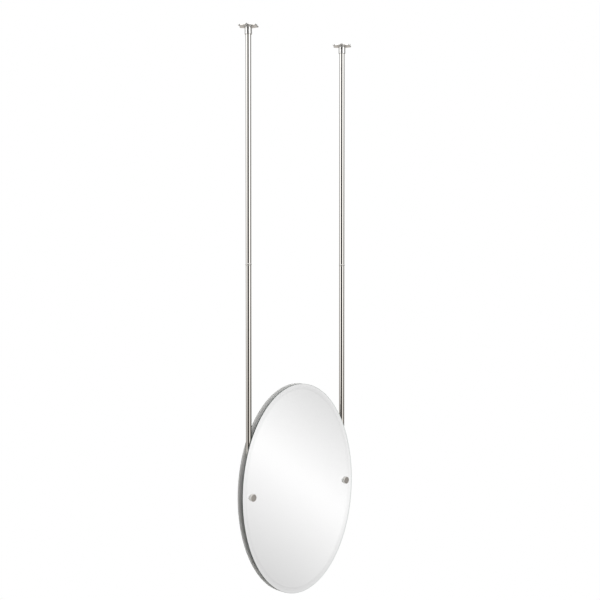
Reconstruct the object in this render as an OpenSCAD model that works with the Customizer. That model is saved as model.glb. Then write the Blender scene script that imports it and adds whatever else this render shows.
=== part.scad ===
// A frameless oval mirror that hangs from the ceiling on two round tubes.
// A bevelled glass and a thin back panel clasp the lower ends of the tubes, at mid-height,
// and a round cap screwed into each tube holds the glass.
// The origin is on the ceiling, midway between the tubes. The glass faces -Y and +Z is up.

/* [Mirror] */
// Width of the oval, for the glass and the back panel alike
mirror_w = 533; // [500:1:700]
// Height of the oval
mirror_h = 737; // [640:1:1000]
// Thickness of the glass
glass_t = 4.8; // [4.6:0.1:8]
// Width of the bevel ground round the front of the glass
bevel_w = 20; // [8:1:24]
// Thickness left at the outer edge of the bevel
bevel_edge_t = 4.4; // [2:0.1:4.5]
// Thickness of the back panel
panel_t = 1.2; // [0.8:0.1:4]

/* [Tubes] */
// Drop from the ceiling to the middle of the mirror
drop = 1587.5; // [900:0.5:2400]
// Distance between the two tubes, centre to centre
tube_spacing = 453; // [430:1:462]
// Outer diameter of the tubes
tube_d = 19.05; // [17:0.05:22]
// Wall of the tubes
tube_wall = 1.25; // [0.8:0.05:1.6]
// How far the tubes run on below the caps
tube_end = 11; // [9:0.5:24]
// Height of the ring where an upper tube meets a lower one
ring_h = 8; // [5:0.5:16]
// Diameter of that ring at its middle
ring_d = 20.6; // [20:0.1:28]

/* [Ceiling fixings] */
// Diameter of the rosette over its six lobes
rosette_d = 72; // [66:1:90]
// Thickness of the rosette
rosette_t = 4.4; // [4.2:0.1:8]
// Radius of each lobe
lobe_r = 5.5; // [4:0.5:8]
// Turn of the lobes about the tube
rosette_turn = 39.5; // [0:0.5:60]
// Diameter of the neck below the rosette
neck_d = 24.4; // [24.2:0.1:32]
// Height of the rosette and its neck together
neck_h = 30.5; // [24:0.5:60]
// Thickness of the bracket hidden in the rosette
bracket_t = 3; // [2.5:0.1:3.2]
// Diameter of the bracket
bracket_d = 49; // [46:0.5:50]
// Distance between the two screw holes of a bracket
screw_spacing = 35; // [34:0.5:37]
// Diameter of the screw holes
screw_hole_d = 4.8; // [3.5:0.1:5.4]

/* [Mirror fixings] */
// Diameter of the caps on the glass
cap_d = 25.4; // [22:0.1:40]
// Height of the caps
cap_h = 10; // [9:0.1:25]
// Diameter of the studs that the caps turn on
stud_d = 6; // [5:0.5:7]
// Diameter of the holes through the glass
glass_hole_d = 10; // [9.5:0.1:12]
// Thickness of the washer under a cap
washer_t = 0.8; // [0.5:0.1:2]
// Thickness of the saddles where they touch the tube
saddle_t = 0.5; // [0.4:0.05:2]

/* [Hidden] */

$fn = 96;
// Small overlap that lets one cut run cleanly past a face
past = 1;

// Clearances, each on the radius
snug = 0.02;
thread_gap = 0.05;
slide_gap = 0.1;
seat_gap = 0.05;
free_gap = 0.3;

// Sides
left = -1;
right = 1;

// Tube
tube_r = tube_d / 2;
bore_r = tube_r - tube_wall;
ring_z = -bracket_t - tube_len();
lower_top_z = ring_z - ring_h;
tube_end_z = -drop - tube_end;
function tube_len() = (drop + tube_end - bracket_t - ring_h) / 2;

// Inserts and studs that join the tubes
insert_r = bore_r - snug;
insert_len = 22;
joint_stud_d = 10;
joint_stud_r = joint_stud_d / 2;
joint_bore_r = joint_stud_r + thread_gap;
stud_depth = 18;
stud_chamfer = 0.8;
ring_land_r = tube_r - 0.4;
ring_land_h = 0.6;

// Planes across the thickness of the mirror, front to back
glass_back_y = -tube_r - saddle_t;
glass_front_y = glass_back_y - glass_t;
cap_base_y = glass_front_y - washer_t;
panel_front_y = tube_r + saddle_t;
panel_back_y = panel_front_y + panel_t;

// Oval
oval_steps = 144;

// Cap, its stud and what the stud passes through
stud_r = stud_d / 2;
stud_bore_r = stud_r + thread_gap;
stud_hole_r = stud_r + free_gap;
stud_tip_y = -1;
cap_socket = 7;
cap_edge_r = 1;
washer_r = min(10, cap_d / 2 - 1.5);
sleeve_r = glass_hole_d / 2 - seat_gap;
saddle_r = tube_r - 1.5;
pad_r = 8;
pad_z = mirror_h / 2 - 68;
pad_side_x = mirror_w * 0.28;
pad_side_z = -mirror_h * 0.3;

// End plug
plug_len = 34;
plug_flange_t = 1.5;
plug_edge_r = 0.7;

// Back screw
back_washer_r = 9;
back_washer_t = 1;
back_head_r = 5.5;
back_head_h = 3.2;
back_recess_w = 1.4;
back_recess_len = 6;
back_recess_depth = 1.8;

// Rosette
rosette_r = rosette_d / 2;
lobe_reach = rosette_r - lobe_r;
side_r = lobe_reach - 0.6;
side_sag = 0.4;
lobes = 6;
half_lobe_turn = 180 / lobes;
scallop_r = 40;
lip_inset = 1;
lip_t = 0.6;
boss_r = 18;
boss_t = 0.8;
neck_r = neck_d / 2;
cove_r = 3;
neck_edge_r = 0.8;
bracket_r = bracket_d / 2;
cavity_r = bracket_r + 1;
cavity_depth = bracket_t + 0.4;
head_r = screw_hole_d / 2 + 1.9;

// Set screw in the neck, behind the tube
set_screw_r = 2;
set_screw_z = -neck_h + 8;
set_socket_r = 1.15;
set_socket_depth = 1.4;

// Point on the oval at angle t, moved inwards along the normal
function oval_point(t, inset) =
    let (a = mirror_w / 2, b = mirror_h / 2)
    let (n = [cos(t) / a, sin(t) / b] / norm([cos(t) / a, sin(t) / b]))
    [a * cos(t), b * sin(t)] - inset * n;

function oval(inset) = [for (i = [0:oval_steps - 1]) oval_point(360 * i / oval_steps, inset)];

function at_height(points, z) = [for (p = points) [p.x, p.y, z]];

// Triangles of one band between two rings of points, ring k below ring k + 1
function band(k) = [
    for (i = [0:oval_steps - 1])
        let (low = k * oval_steps, high = low + oval_steps, j = (i + 1) % oval_steps)
        each [[low + i, high + i, high + j], [low + i, high + j, low + j]]
];

// Puts a shape drawn in the XY plane upright, rising from y towards the front
module upright(y, z = 0) {
    translate([0, y, z]) rotate([90, 0, 0]) children();
}

// Places a child on the axis of one tube
module at_tube(side) {
    translate([side * tube_spacing / 2, 0, 0]) children();
}

// Places a child on the axis of one cap, rising from y towards the front
module at_cap(side, y) {
    translate([side * tube_spacing / 2, 0, 0]) upright(y, -drop) children();
}

module chamfered_rod(r, length) {
    cylinder(r1 = r - stud_chamfer, r2 = r, h = stud_chamfer);
    translate([0, 0, stud_chamfer]) cylinder(r = r, h = length - 2 * stud_chamfer);
    translate([0, 0, length - stud_chamfer]) cylinder(r1 = r, r2 = r - stud_chamfer, h = stud_chamfer);
}

module washer(outer_r, inner_r, thickness) {
    difference() {
        cylinder(r = outer_r, h = thickness);
        translate([0, 0, -past]) cylinder(r = inner_r, h = thickness + 2 * past);
    }
}

module mirror_glass() {
    color("#e4e6e8") difference() {
        upright(glass_back_y, -drop) bevelled_oval();
        for (side = [left, right]) {
            at_cap(side, glass_back_y + past) cylinder(r = glass_hole_d / 2, h = glass_t + 2 * past);
        }
    }
}

module bevelled_oval() {
    rim = oval(0);
    flat_edge = oval(bevel_w);
    count = oval_steps;
    polyhedron(
        points = concat(at_height(rim, 0), at_height(rim, bevel_edge_t), at_height(flat_edge, glass_t)),
        faces = concat(
            [[for (i = [0:count - 1]) i]],
            band(0),
            band(1),
            [[for (i = [count - 1:-1:0]) 2 * count + i]]
        )
    );
}

module back_panel() {
    color("#8d8d8b") difference() {
        upright(panel_back_y, -drop) linear_extrude(panel_t) polygon(oval(0));
        for (side = [left, right]) {
            at_cap(side, panel_back_y + past) cylinder(r = stud_hole_r, h = panel_t + 2 * past);
        }
    }
}

// Rubber pads that keep the glass and the panel apart away from the tubes
module spacer_pads() {
    places = [[0, pad_z], [0, -pad_z], [-pad_side_x, pad_side_z], [pad_side_x, pad_side_z]];
    color("#303030") for (p = places) {
        translate([p.x, 0, 0]) upright(panel_front_y, p.y - drop)
            cylinder(r = pad_r, h = panel_front_y - glass_back_y);
    }
}

module ceiling_bracket(side) {
    color("#a9abac") at_tube(side) difference() {
        translate([0, 0, -bracket_t]) cylinder(r = bracket_r, h = bracket_t);
        translate([0, 0, -bracket_t - past]) cylinder(r = joint_stud_r + snug, h = bracket_t + 2 * past);
        for (end = [-1, 1]) {
            translate([0, end * screw_spacing / 2, -bracket_t - past])
                cylinder(r = screw_hole_d / 2, h = bracket_t + 2 * past);
            translate([0, end * screw_spacing / 2, -bracket_t])
                cylinder(r1 = head_r, r2 = screw_hole_d / 2, h = head_r - screw_hole_d / 2);
        }
    }
}

module ceiling_stud(side) {
    color("#a9abac") at_tube(side) translate([0, 0, -bracket_t - stud_depth])
        chamfered_rod(joint_stud_r, stud_depth + bracket_t - free_gap);
}

// Outline of the rosette, drawn in by the inset all round
module rosette_outline(inset) {
    difference() {
        circle(r = (side_r - inset) / cos(half_lobe_turn), $fn = lobes);
        for (k = [0:lobes - 1]) {
            rotate((2 * k + 1) * half_lobe_turn)
                translate([side_r - side_sag - inset + scallop_r, 0]) circle(r = scallop_r);
        }
    }
    for (k = [0:lobes - 1]) {
        rotate(2 * k * half_lobe_turn) translate([lobe_reach, 0]) circle(r = lobe_r - inset);
    }
}

// Half section of the boss, the hollow moulding under it and the neck
module neck_section() {
    boss_z = -rosette_t - boss_t;
    difference() {
        union() {
            translate([0, boss_z]) square([boss_r, boss_t + past]);
            translate([0, boss_z - cove_r]) square([neck_r + cove_r, cove_r]);
        }
        translate([neck_r + cove_r, boss_z - cove_r]) circle(r = cove_r);
    }
    translate([0, -neck_h + neck_edge_r]) square([neck_r, neck_h - neck_edge_r - past]);
    translate([0, -neck_h]) square([neck_r - neck_edge_r, neck_h - past]);
    translate([neck_r - neck_edge_r, -neck_h + neck_edge_r]) circle(r = neck_edge_r);
}

module escutcheon(side) {
    color("#c8c4bd") at_tube(side) difference() {
        union() {
            rotate(rosette_turn) {
                translate([0, 0, -rosette_t + lip_t]) linear_extrude(rosette_t - lip_t) rosette_outline(0);
                translate([0, 0, -rosette_t]) linear_extrude(lip_t) rosette_outline(lip_inset);
            }
            rotate_extrude() neck_section();
        }
        translate([0, 0, -cavity_depth]) cylinder(r = cavity_r, h = cavity_depth + past);
        translate([0, 0, -neck_h - past]) cylinder(r = tube_r + slide_gap, h = neck_h + 2 * past);
        upright(neck_r + past, set_screw_z) cylinder(r = set_screw_r + snug, h = neck_r + past);
    }
}

module set_screw(side) {
    tip = tube_r + slide_gap;
    length = neck_r - neck_edge_r / 2 - tip;
    color("#4b4b4c") at_tube(side) difference() {
        upright(tip + length, set_screw_z) cylinder(r = set_screw_r, h = length);
        upright(tip + length + past, set_screw_z)
            cylinder(r = set_socket_r, h = set_socket_depth + past, $fn = 6);
    }
}

module upper_tube(side) {
    color("#c8c4bd") at_tube(side) translate([0, 0, ring_z]) washer(tube_r, bore_r, tube_len());
}

module insert(top_z) {
    translate([0, 0, top_z - insert_len]) washer(insert_r, joint_bore_r, insert_len);
}

module upper_tube_top_insert(side) {
    color("#b8964f") at_tube(side) insert(-bracket_t);
}

module upper_tube_bottom_insert(side) {
    color("#b8964f") at_tube(side) insert(ring_z + insert_len);
}

module lower_tube_insert(side) {
    color("#b8964f") at_tube(side) insert(lower_top_z);
}

// Rounded ring with a thin shadow line above and below it
module joint_ring(side) {
    bead_h = ring_h - 2 * ring_land_h;
    rise = ring_d / 2 - ring_land_r;
    bead_r = (pow(bead_h / 2, 2) + pow(rise, 2)) / (2 * rise);
    color("#c8c4bd") at_tube(side) translate([0, 0, ring_z - ring_h]) rotate_extrude() {
        translate([joint_bore_r, 0]) square([ring_land_r - joint_bore_r, ring_h]);
        intersection() {
            translate([ring_d / 2 - bead_r, ring_h / 2]) circle(r = bead_r);
            translate([joint_bore_r, ring_land_h]) square([ring_d, bead_h]);
        }
    }
}

module joint_stud(side) {
    color("#a9abac") at_tube(side) translate([0, 0, lower_top_z - stud_depth])
        chamfered_rod(joint_stud_r, 2 * stud_depth + ring_h);
}

module lower_tube(side) {
    color("#c8c4bd") difference() {
        at_tube(side) translate([0, 0, tube_end_z]) washer(tube_r, bore_r, tube_len());
        at_cap(side, tube_d) cylinder(r = stud_hole_r, h = 2 * tube_d);
    }
}

// Plug in the foot of a tube, tapped across for the cap in front and the screw behind
module end_plug(side) {
    color("#b8964f") difference() {
        at_tube(side) translate([0, 0, tube_end_z]) {
            cylinder(r = insert_r, h = plug_len);
            rotate_extrude() {
                translate([0, -plug_flange_t]) square([tube_r - plug_edge_r, plug_flange_t]);
                translate([0, -plug_flange_t + plug_edge_r]) square([tube_r, plug_flange_t - plug_edge_r]);
                translate([tube_r - plug_edge_r, -plug_flange_t + plug_edge_r]) circle(r = plug_edge_r);
            }
        }
        at_cap(side, tube_d) cylinder(r = stud_bore_r, h = 2 * tube_d);
    }
}

module glass_sleeve(side) {
    color("#f1efe9") at_cap(side, glass_back_y) washer(sleeve_r, stud_hole_r, glass_t);
}

// Washer with one flat face and one hollowed to the tube, its flat face at y
module saddle(side, flat_y, direction) {
    depth = abs(flat_y) - sqrt(pow(tube_r, 2) - pow(saddle_r, 2));
    start_y = direction < 0 ? flat_y + depth : flat_y;
    difference() {
        at_cap(side, start_y) washer(saddle_r, stud_hole_r, depth);
        at_tube(side) translate([0, 0, -drop - tube_d]) cylinder(r = tube_r + seat_gap, h = 2 * tube_d);
    }
}

module front_saddle(side) {
    color("#f1efe9") saddle(side, glass_back_y, -1);
}

module back_saddle(side) {
    color("#f1efe9") saddle(side, panel_front_y, 1);
}

module cap_washer(side) {
    color("#f1efe9") at_cap(side, glass_front_y) washer(washer_r, stud_hole_r, washer_t);
}

module cap(side) {
    color("#9b968f") at_cap(side, cap_base_y) difference() {
        rotate_extrude() {
            square([cap_d / 2, cap_h - cap_edge_r]);
            square([cap_d / 2 - cap_edge_r, cap_h]);
            translate([cap_d / 2 - cap_edge_r, cap_h - cap_edge_r]) circle(r = cap_edge_r);
        }
        translate([0, 0, -past]) cylinder(r = stud_r + snug, h = cap_socket + past);
    }
}

module cap_stud(side) {
    color("#a9abac") at_cap(side, stud_tip_y)
        chamfered_rod(stud_r, stud_tip_y - cap_base_y + cap_socket);
}

module back_washer(side) {
    color("#a9abac") at_cap(side, panel_back_y + back_washer_t)
        washer(back_washer_r, stud_hole_r, back_washer_t);
}

module back_screw(side) {
    seat_y = panel_back_y + back_washer_t;
    color("#a9abac") difference() {
        union() {
            at_cap(side, seat_y + back_head_h) cylinder(r = back_head_r, h = back_head_h);
            at_cap(side, seat_y) cylinder(r = stud_r, h = seat_y + stud_tip_y);
        }
        for (turn = [0, 90]) {
            at_cap(side, seat_y + back_head_h + past) rotate(turn)
                translate([-back_recess_len / 2, -back_recess_w / 2, 0])
                cube([back_recess_len, back_recess_w, back_recess_depth + past]);
        }
    }
}

mirror_glass();
back_panel();
spacer_pads();
ceiling_bracket(left);  // left_ceiling_bracket
ceiling_bracket(right);  // right_ceiling_bracket
ceiling_stud(left);  // left_ceiling_stud
ceiling_stud(right);  // right_ceiling_stud
escutcheon(left);  // left_escutcheon
escutcheon(right);  // right_escutcheon
set_screw(left);  // left_set_screw
set_screw(right);  // right_set_screw
upper_tube(left);  // left_upper_tube
upper_tube(right);  // right_upper_tube
upper_tube_top_insert(left);  // left_upper_tube_top_insert
upper_tube_top_insert(right);  // right_upper_tube_top_insert
upper_tube_bottom_insert(left);  // left_upper_tube_bottom_insert
upper_tube_bottom_insert(right);  // right_upper_tube_bottom_insert
joint_ring(left);  // left_joint_ring
joint_ring(right);  // right_joint_ring
joint_stud(left);  // left_joint_stud
joint_stud(right);  // right_joint_stud
lower_tube_insert(left);  // left_lower_tube_insert
lower_tube_insert(right);  // right_lower_tube_insert
lower_tube(left);  // left_lower_tube
lower_tube(right);  // right_lower_tube
end_plug(left);  // left_end_plug
end_plug(right);  // right_end_plug
glass_sleeve(left);  // left_glass_sleeve
glass_sleeve(right);  // right_glass_sleeve
front_saddle(left);  // left_front_saddle
front_saddle(right);  // right_front_saddle
back_saddle(left);  // left_back_saddle
back_saddle(right);  // right_back_saddle
cap_washer(left);  // left_cap_washer
cap_washer(right);  // right_cap_washer
cap(left);  // left_cap
cap(right);  // right_cap
cap_stud(left);  // left_cap_stud
cap_stud(right);  // right_cap_stud
back_washer(left);  // left_back_washer
back_washer(right);  // right_back_washer
back_screw(left);  // left_back_screw
back_screw(right);  // right_back_screw
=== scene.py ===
# %% [markdown]
# # A ceiling-hung oval mirror
# A frameless bevelled mirror hangs from the ceiling on two polished tubes. A thin back panel
# and the glass clasp the tubes like a sandwich, and a round cap on each side holds the glass.
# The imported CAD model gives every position, so this lesson only dresses it: most visible
# parts are modelled again with finer edges, and everything gets its real finish.
# Lengths are written in millimetres, as a maker writes them, and Blender works in metres.

# %% The frame
import bpy
import bmesh
from math import acos, asin, cos, degrees, pi, radians, sin, sqrt
from mathutils import Matrix, Vector


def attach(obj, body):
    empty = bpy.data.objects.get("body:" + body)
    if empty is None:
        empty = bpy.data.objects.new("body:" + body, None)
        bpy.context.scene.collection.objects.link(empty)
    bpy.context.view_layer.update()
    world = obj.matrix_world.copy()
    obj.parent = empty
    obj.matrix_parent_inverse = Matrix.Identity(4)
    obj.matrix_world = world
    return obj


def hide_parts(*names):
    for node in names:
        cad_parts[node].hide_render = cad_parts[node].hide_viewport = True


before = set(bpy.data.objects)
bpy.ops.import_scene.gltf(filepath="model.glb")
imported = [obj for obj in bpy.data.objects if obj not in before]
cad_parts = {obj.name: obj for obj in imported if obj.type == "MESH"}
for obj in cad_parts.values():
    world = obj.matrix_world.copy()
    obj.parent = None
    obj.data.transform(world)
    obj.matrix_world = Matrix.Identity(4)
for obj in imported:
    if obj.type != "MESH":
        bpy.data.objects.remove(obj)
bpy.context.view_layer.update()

MM = 0.001
SIDES = {"left": -1, "right": 1}
scene = bpy.context.scene

# %% [markdown]
# ## The camera
# The photograph was taken from 44 degrees to the left of the mirror, a little above the ring
# on the tubes. A camera could be aimed by eye, but the oval and the straight tubes allow an
# exact answer: these numbers come from a least-squares fit to their edges.

# %% Camera
CAMERA_PLACE = Vector((-2.6106, -2.7226, -0.8375))
CAMERA_HEADING, CAMERA_PITCH = radians(43.95), radians(-1.32)
SENSOR_W, LENS = 36, 64.37

camera_data = bpy.data.cameras.new("studio_camera")
camera_data.sensor_width = SENSOR_W
camera_data.lens = LENS
camera = bpy.data.objects.new("studio_camera", camera_data)
camera.location = CAMERA_PLACE
camera.rotation_euler = (pi / 2 + CAMERA_PITCH, 0, -CAMERA_HEADING)
scene.collection.objects.link(camera)
scene.camera = camera
scene.view_settings.view_transform = "Standard"
print("camera", LENS, "mm lens,", round(CAMERA_PLACE.length, 2), "m away")

# %% [markdown]
# ## Two small helpers
# Colours are written as the sRGB hex values that a picture shows, and a shader wants linear
# ones, so one function converts them. A second one adds a node of any kind to a node tree,
# sets it and links it, which keeps a material down to one line for each node.

# %% Helpers for colours and nodes
def linear(hex_colour):
    """An sRGB hex colour as the linear colour that a shader works in."""
    parts = [int(hex_colour[i:i + 2], 16) / 255 for i in (1, 3, 5)]
    return [p / 12.92 if p <= 0.04045 else ((p + 0.055) / 1.055) ** 2.4 for p in parts] + [1]


def add(tree, kind, inputs=None, **settings):
    """Add a node, set it, and set or link its inputs. A node links by its first output."""
    node = tree.nodes.new(kind)
    for name, value in settings.items():
        setattr(node, name, value)
    for name, value in (inputs or {}).items():
        if isinstance(value, bpy.types.Node):
            value = value.outputs[0]
        if isinstance(value, bpy.types.NodeSocket):
            tree.links.new(value, node.inputs[name])
        else:
            node.inputs[name].default_value = value
    return node


print("mid grey #808080 is", round(linear("#808080")[0], 3), "in linear light")

# %% [markdown]
# ## The studio
# Polished metal and mirrors have hardly a colour of their own. What the eye reads as chrome or
# nickel is the room in them: bright softboxes with hard sides, and the dark of the room round
# the camera. Cards could be hung round the object, but a world that is painted by direction
# gives every tube the same clean stripes. So the world has three faces. The camera sees plain
# white. Rays that come back out of the glass see a pale wall, made below. All others see the
# studio, painted by compass direction in three bands of height and mixed between them,
# always as seen from the mirror and fixed to the room. It is a lighting plan: two softboxes,
# brightest 60 degrees left and 35 degrees right of the camera, with dark between them and
# weaker light further round. Their places and levels were adjusted until the tubes had the
# photograph's stripes. The dark parts are a little warm in the two lower bands.

# %% The painted studio
# Each row is a bearing and the light there in the low, the level and the high band. Bearings
# are degrees round from the camera, as seen from the mirror, and grow to its right. A light
# of 1 is white paper, and None leaves a band without a stop.
STUDIO = [(-180, 0.6, 0.6, 0.6), (-172, 0.58, 0.58, 0.58), (-150, 0.16, 0.16, 0.15),
          (-125, 0.47, 0.51, 0.47), (-112, 0.2, 0.02, 0.38), (-100, 0.3, 0.15, 0.62),
          (-85, 0.88, 1.39, 1.47), (-60, 1.09, 1.92, 2.17), (-44, 0.02, 0.07, 1.08),
          (-34, 0.02, 0.02, 0.02), (4, 0.08, None, None), (12, 0.23, 0.02, 0.02),
          (20, 0.6, 0.57, 0.78), (35, 1.19, 2.09, 2.4), (55, 0.98, 1.39, 1.84),
          (70, 0.35, 0.3, 0.67), (82, 0.04, 0.07, 0.52), (92, None, 0.18, 0.62),
          (102, 0.11, 0.33, 0.59), (116, 0.23, 0.45, 0.36), (135, 0.29, 0.5, 0.17),
          (155, 0.15, 0.16, 0.15), (172, 0.58, 0.58, 0.58), (180, 0.6, 0.6, 0.6)]
BRIGHTEST = 2.4
LOW_Z, LEVEL_Z, HIGH_Z = sin(radians(-8)), sin(radians(-2)), sin(radians(12))
LOW_WARMTH, LEVEL_WARMTH, HIGH_WARMTH, WARM_BELOW = 0.16, 0.08, 0, 1.3
CAMERA_BEARING = CAMERA_HEADING + pi / 2

world = bpy.data.worlds.new("studio")
world.use_nodes = True
scene.world = world
sky = world.node_tree
sky.nodes.clear()

direction = add(sky, "ShaderNodeTexCoord").outputs["Generated"]
compass = add(sky, "ShaderNodeSeparateXYZ", {"Vector": direction}).outputs
turn = add(sky, "ShaderNodeMath", {0: compass["Y"], 1: compass["X"]}, operation="ARCTAN2")
from_camera = add(sky, "ShaderNodeMath", {0: turn, 1: CAMERA_BEARING}, operation="ADD")
bearing = add(sky, "ShaderNodeMath", {0: from_camera, 1: pi, 2: -pi}, operation="WRAP")
share = add(sky, "ShaderNodeMapRange", {"Value": bearing, "From Min": -pi, "From Max": pi})


def studio_band(column, warmth):
    """One band of the studio: a ramp round the compass, whose dark parts are the warmest."""
    stops = [(row[0], row[column]) for row in STUDIO if row[column] is not None]
    ramp = add(sky, "ShaderNodeValToRGB", {"Fac": share})
    elements = ramp.color_ramp.elements
    while len(elements) < len(stops):
        elements.new(0.5)
    for element, (where, level) in zip(elements, stops):
        missing = warmth * (WARM_BELOW - min(level, 1))
        colour = [level / BRIGHTEST * left for left in (1, 1 - missing / 2, 1 - missing)]
        element.position = (where + 180) / 360
        element.color = colour + [1]
    return ramp


low_to_level = add(sky, "ShaderNodeMapRange", {"Value": compass["Z"], "From Min": LOW_Z,
                                               "From Max": LEVEL_Z})
level_to_high = add(sky, "ShaderNodeMapRange", {"Value": compass["Z"], "From Min": LEVEL_Z,
                                                "From Max": HIGH_Z})
lower = add(sky, "ShaderNodeMixRGB", {"Fac": low_to_level, 1: studio_band(1, LOW_WARMTH),
                                      2: studio_band(2, LEVEL_WARMTH)})
painted = add(sky, "ShaderNodeMixRGB", {"Fac": level_to_high, 1: lower,
                                        2: studio_band(3, HIGH_WARMTH)})
print("studio painted at", len(STUDIO), "bearings")

# %% [markdown]
# The mirror's face looks into one part of the room, low and to the right of the camera. There
# the photograph shows a pale wall with a soft white streak across it. The streak is a ridge:
# its light falls off evenly on both sides of a slanting line, so it is drawn from the distance
# to that line. Only what is seen through the glass looks at this wall. In the studio's hard
# stripes, which the metal needs, a flat mirror would turn black or burn out from most sides.
# For the same reason the streak comes back every 30 degrees round the room, and the mirror
# stays a soft grey from all sides. The wall is a little brighter than it should look, by the
# light that glass and silver take.

# %% The pale wall with its streak
STREAK_BEARING, STREAK_HEIGHT, STREAK_SLOPE = radians(87.8), radians(-10.62), 0.748
STREAK_HALF_W, STREAK_REACH, STREAK_SPACING = radians(0.84), radians(12), radians(30)
STREAK_TONE, WALL_TONE, DISPLAY_GAMMA = 1.0167, 0.704, 2.4
GLASS_LOSS = 1.12

rise = add(sky, "ShaderNodeMath", {0: compass["Z"]}, operation="ARCSINE")
above = add(sky, "ShaderNodeMath", {0: rise, 1: STREAK_HEIGHT}, operation="SUBTRACT")
aside = add(sky, "ShaderNodeMath", {0: bearing, 1: STREAK_BEARING}, operation="SUBTRACT")
sloped = add(sky, "ShaderNodeMath", {0: aside, 1: STREAK_SLOPE, 2: above}, operation="MULTIPLY_ADD")
slant = add(sky, "ShaderNodeMath", {0: sloped, 1: STREAK_SPACING / 2, 2: -STREAK_SPACING / 2},
            operation="WRAP")
squared = add(sky, "ShaderNodeMath", {0: slant, 1: slant, 2: STREAK_HALF_W ** 2},
              operation="MULTIPLY_ADD")
off_line = add(sky, "ShaderNodeMath", {0: squared}, operation="SQRT")
wall_tone = add(sky, "ShaderNodeMapRange", {"Value": off_line, "From Max": STREAK_REACH,
                                            "To Min": STREAK_TONE, "To Max": WALL_TONE})
wall_light = add(sky, "ShaderNodeMath", {0: wall_tone, 1: DISPLAY_GAMMA}, operation="POWER")
wall = add(sky, "ShaderNodeMath", {0: wall_light, 1: GLASS_LOSS / BRIGHTEST},
           operation="MULTIPLY")
print("pale wall at", round(degrees(STREAK_BEARING)), "degrees from the camera")

# %% Ceiling, floor and the three faces of the world
# Overhead the ceiling softens everything to an even white, and the floor below is about half
# as light. A height here is the part of a direction that points straight up.
CEILING_FROM, CEILING_FULL, CEILING_LEVEL = 0.35, 0.8, 1
GROUND_FROM, GROUND_FULL, GROUND_LEVEL = -0.45, -0.8, 0.45

overhead = add(sky, "ShaderNodeMapRange", {"Value": compass["Z"], "From Min": CEILING_FROM,
                                           "From Max": CEILING_FULL})
below = add(sky, "ShaderNodeMapRange", {"Value": compass["Z"], "From Min": GROUND_FROM,
                                        "From Max": GROUND_FULL})
with_floor = add(sky, "ShaderNodeMixRGB", {"Fac": below, 1: painted,
                                           2: (GROUND_LEVEL / BRIGHTEST,) * 3 + (1,)})
whole_room = add(sky, "ShaderNodeMixRGB", {"Fac": overhead, 1: with_floor,
                                           2: (CEILING_LEVEL / BRIGHTEST,) * 3 + (1,)})

rays = add(sky, "ShaderNodeLightPath").outputs
room = add(sky, "ShaderNodeMixRGB", {"Fac": rays["Is Transmission Ray"], 1: whole_room, 2: wall})
studio_light = add(sky, "ShaderNodeBackground", {"Color": room, "Strength": BRIGHTEST})
white_page = add(sky, "ShaderNodeBackground", {"Color": (1, 1, 1, 1), "Strength": 1.0})
either = add(sky, "ShaderNodeMixShader", {0: rays["Is Camera Ray"], 1: studio_light, 2: white_page})
add(sky, "ShaderNodeOutputWorld", {"Surface": either})
print("world has", len(sky.nodes), "nodes")

# %% [markdown]
# ## Floor and lamps
# The floor lies where a bathroom's would, 2.6 m below the ceiling. To the camera it is white
# wherever light reaches it, so only the object's soft shadow shows. From below it is clear,
# and neither metal nor glass sees it. A large soft lamp above the camera, a little to its
# left, gives the shadow a side. A stronger one overhead shines down into the gap between glass
# and panel, which is palest at the top in the photograph. One behind lights the back panel,
# whose enamel then looks about as its colour is written. The metal and the glass don't see the
# lamps either, because round discs of light in every tube would look like a fault.

# %% Floor
FLOOR_Z, FLOOR_R, PAPER_GLOW = -2600, 2000, 0.3

floor_finish = bpy.data.materials.new("pale_studio_floor")
floor_finish.use_nodes = True
tree = floor_finish.node_tree
tree.nodes.clear()
paper = add(tree, "ShaderNodeBsdfDiffuse", {"Color": linear("#f2f2f0")})
glow = add(tree, "ShaderNodeEmission", {"Color": (1, 1, 1, 1), "Strength": PAPER_GLOW})
lit = add(tree, "ShaderNodeAddShader", {0: paper, 1: glow})
seen = add(tree, "ShaderNodeLightPath").outputs["Is Camera Ray"]
floor_mix = add(tree, "ShaderNodeMixShader", {0: seen, 1: paper, 2: lit})
nothing = add(tree, "ShaderNodeBsdfTransparent")
underside = add(tree, "ShaderNodeNewGeometry").outputs["Backfacing"]
one_sided = add(tree, "ShaderNodeMixShader", {0: underside, 1: floor_mix, 2: nothing})
add(tree, "ShaderNodeOutputMaterial", {"Surface": one_sided})

bm = bmesh.new()
bmesh.ops.create_circle(bm, cap_ends=True, segments=96, radius=FLOOR_R * MM)
bmesh.ops.translate(bm, verts=bm.verts, vec=(0, 0, FLOOR_Z * MM))
floor_mesh = bpy.data.meshes.new("studio_floor")
bm.to_mesh(floor_mesh)
bm.free()
floor_mesh.materials.append(floor_finish)
studio_floor = bpy.data.objects.new("studio_floor", floor_mesh)
studio_floor.visible_glossy = False
studio_floor.visible_transmission = False
scene.collection.objects.link(studio_floor)
print("floor at", FLOOR_Z, "mm")

# %% Lamps
# Power in watts, place in metres
LAMPS = {"soft_key": (34, (-2.2, -2.0, 1.2)), "soft_top": (66, (0.3, -0.5, 1.2)),
         "soft_fill": (30, (1.6, 2.6, -0.4))}
LAMP_SIZE, LAMP_AIM = 1.6, Vector((0, 0, -1.2))

for name, (power, place) in LAMPS.items():
    lamp_data = bpy.data.lights.new(name, "AREA")
    lamp_data.shape = "DISK"
    lamp_data.size = LAMP_SIZE
    lamp_data.energy = power
    lamp = bpy.data.objects.new(name, lamp_data)
    lamp.location = place
    lamp.rotation_euler = (LAMP_AIM - lamp.location).to_track_quat("-Z", "Y").to_euler()
    lamp.visible_glossy = False
    lamp.visible_transmission = False
    lamp.visible_camera = False
    scene.collection.objects.link(lamp)
print("lamps:", ", ".join(LAMPS))

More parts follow.
